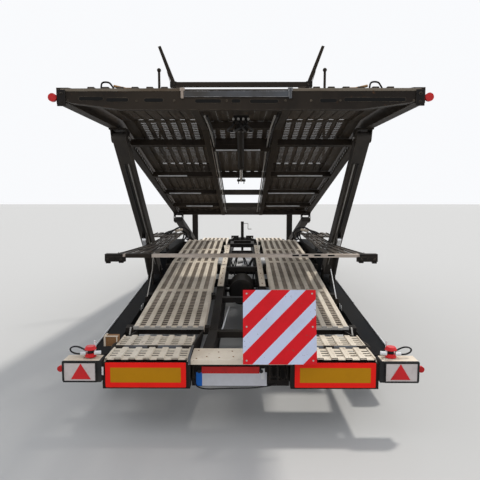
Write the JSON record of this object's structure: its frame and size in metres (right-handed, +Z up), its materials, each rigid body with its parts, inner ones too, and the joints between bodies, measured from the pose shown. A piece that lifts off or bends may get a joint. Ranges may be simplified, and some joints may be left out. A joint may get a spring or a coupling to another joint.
{
  "type": "car transporter drawbar trailer",
  "caption": "Two-deck car transporter drawbar trailer with centre tandem twin wheels, lifting arms, tracked decks and a rear warning board, parked on its jack",
  "frame": {"origin": "on the ground, midway between the warning board's rear foot and the front of the towing eye, and midway between the sides", "axes": "+X to the right and +Y forward along the road as the trailer is towed, +Z up"},
  "size_m": [2.596, 11.016, 3.545],
  "materials": {
    "frame_paint": "satin",
    "track_sheet": "matte",
    "tyre": "matte",
    "rim": "satin",
    "marker_plate": "satin",
    "blank_plate": "satin",
    "warning_board": "gloss",
    "lens": "gloss",
    "lamp_box": "matte",
    "pale_strip": "matte",
    "rod": "polished"
  },
  "bodies": {
    "chassis": {"spine_beams": "frame_paint", "side_rails": "frame_paint", "cross_members": "frame_paint", "rear_tracks": "track_sheet", "hump_tracks": "track_sheet", "front_tracks": "track_sheet", "rear_beam": "frame_paint", "rear_ties": "frame_paint", "rear_top_plates": "track_sheet", "marker_plates": "marker_plate", "licence_plate": "blank_plate", "lamp_boxes": "lamp_box", "lamp_lenses": "lens", "warning_board": "warning_board", "drawbar": "frame_paint", "towing_eye": "frame_paint", "jack": "frame_paint", "axles": "frame_paint", "leaf_springs": "frame_paint", "spring_hangers": "frame_paint", "air_tank": "frame_paint", "foot_brackets": "frame_paint", "rail_posts": "frame_paint"},
    "wheel_rear_right": {"tyres_rear_right": "tyre", "rims_rear_right": "rim"},
    "wheel_rear_left": {"tyres_rear_left": "tyre", "rims_rear_left": "rim"},
    "wheel_front_right": {"tyres_front_right": "tyre", "rims_front_right": "rim"},
    "wheel_front_left": {"tyres_front_left": "tyre", "rims_front_left": "rim"},
    "rear_flap_right": {"rear_flap_right": "track_sheet"},
    "rear_flap_left": {"rear_flap_left": "track_sheet"},
    "lift_frame": {"lift_bar": "frame_paint", "lift_wings": "track_sheet"},
    "rear_arms": {"rear_arms": "frame_paint"},
    "front_arms": {"front_arms": "frame_paint"},
    "rear_barrels": {"rear_barrels": "frame_paint"},
    "rear_rods": {"rear_rods": "rod"},
    "front_barrels": {"front_barrels": "frame_paint"},
    "front_rods": {"front_rods": "rod"},
    "upper_deck": {"upper_side_beams": "frame_paint", "upper_inner_beams": "frame_paint", "upper_cross_members": "frame_paint", "upper_main_tracks": "track_sheet", "upper_rear_tracks": "track_sheet", "upper_centre_panels": "track_sheet", "upper_rear_beam": "frame_paint", "rear_beam_strip": "pale_strip", "upper_lamps": "lens", "upper_guards": "frame_paint", "head_brackets": "frame_paint", "roller_guides": "frame_paint"},
    "front_platform": {"platform_side_beams": "frame_paint", "platform_cross_members": "frame_paint", "platform_tracks": "track_sheet"}
  },
  "joints": [
    {"name": "rear_right_wheel_spin", "type": "hinge", "parent": "chassis", "child": "wheel_rear_right", "pos_m": [0, -1.367, 0.355], "axis": [1, 0, 0], "continuous": true},
    {"name": "rear_left_wheel_spin", "type": "hinge", "parent": "chassis", "child": "wheel_rear_left", "pos_m": [0, -1.367, 0.355], "axis": [1, 0, 0], "continuous": true},
    {"name": "front_right_wheel_spin", "type": "hinge", "parent": "chassis", "child": "wheel_front_right", "pos_m": [0, -0.167, 0.355], "axis": [1, 0, 0], "continuous": true},
    {"name": "front_left_wheel_spin", "type": "hinge", "parent": "chassis", "child": "wheel_front_left", "pos_m": [0, -0.167, 0.355], "axis": [1, 0, 0], "continuous": true},
    {"name": "rear_flap_right_hinge", "type": "hinge", "parent": "chassis", "child": "rear_flap_right", "pos_m": [0, -5.127, 0.553], "axis": [1, 0, 0], "range_deg": [0, 95]},
    {"name": "rear_flap_left_hinge", "type": "hinge", "parent": "chassis", "child": "rear_flap_left", "pos_m": [0, -5.127, 0.553], "axis": [1, 0, 0], "range_deg": [0, 95]},
    {"name": "lift_frame_pitch", "type": "hinge", "parent": "chassis", "child": "lift_frame", "pos_m": [0, -1.457, 1.085], "axis": [-1, 0, 0], "range_deg": [-8, 10]},
    {"name": "upper_deck_lift", "type": "hinge", "parent": "chassis", "child": "rear_arms", "pos_m": [0, -2.197, 0.7], "axis": [-1, 0, 0], "range_deg": [0, 12]},
    {"name": "deck_pitch", "type": "hinge", "parent": "rear_arms", "child": "upper_deck", "pos_m": [0, -3.957, 2.25], "axis": [1, 0, 0], "range_deg": [0, 20.6]},
    {"name": "front_platform_pitch", "type": "hinge", "parent": "upper_deck", "child": "front_platform", "pos_m": [0, 0.363, 1.375], "axis": [-1, 0, 0], "range_deg": [0, 8.24]},
    {"name": "front_arms_swing", "type": "hinge", "parent": "chassis", "child": "front_arms", "pos_m": [0, 2.633, 0.64], "axis": [-1, 0, 0], "range_deg": [0, 24.41]},
    {"name": "rear_barrels_swing", "type": "hinge", "parent": "chassis", "child": "rear_barrels", "pos_m": [0, -2.537, 0.665], "axis": [-1, 0, 0], "range_deg": [0, 14.99]},
    {"name": "rear_rods_slide", "type": "slide", "parent": "rear_barrels", "child": "rear_rods", "axis": [0, -0.6095, 0.7928], "range_m": [0, 0.067]},
    {"name": "front_barrels_swing", "type": "hinge", "parent": "chassis", "child": "front_barrels", "pos_m": [0, 2.383, 0.585], "axis": [-1, 0, 0], "range_deg": [0, 29.66]},
    {"name": "front_rods_slide", "type": "slide", "parent": "front_barrels", "child": "front_rods", "axis": [0, -0.9736, 0.2282], "range_m": [0, 0.0697]}
  ],
  "couplings": [
    {"joint": "deck_pitch", "follows": "upper_deck_lift", "ratio": 1.6667},
    {"joint": "front_platform_pitch", "follows": "upper_deck_lift", "ratio": 0.6667},
    {"joint": "front_arms_swing", "follows": "upper_deck_lift", "ratio": 1.975},
    {"joint": "rear_barrels_swing", "follows": "upper_deck_lift", "ratio": 1.2128},
    {"joint": "rear_rods_slide", "follows": "upper_deck_lift", "m_per_rad": 0.3108},
    {"joint": "front_barrels_swing", "follows": "upper_deck_lift", "ratio": 2.4},
    {"joint": "front_rods_slide", "follows": "upper_deck_lift", "m_per_rad": 0.323}
  ]
}
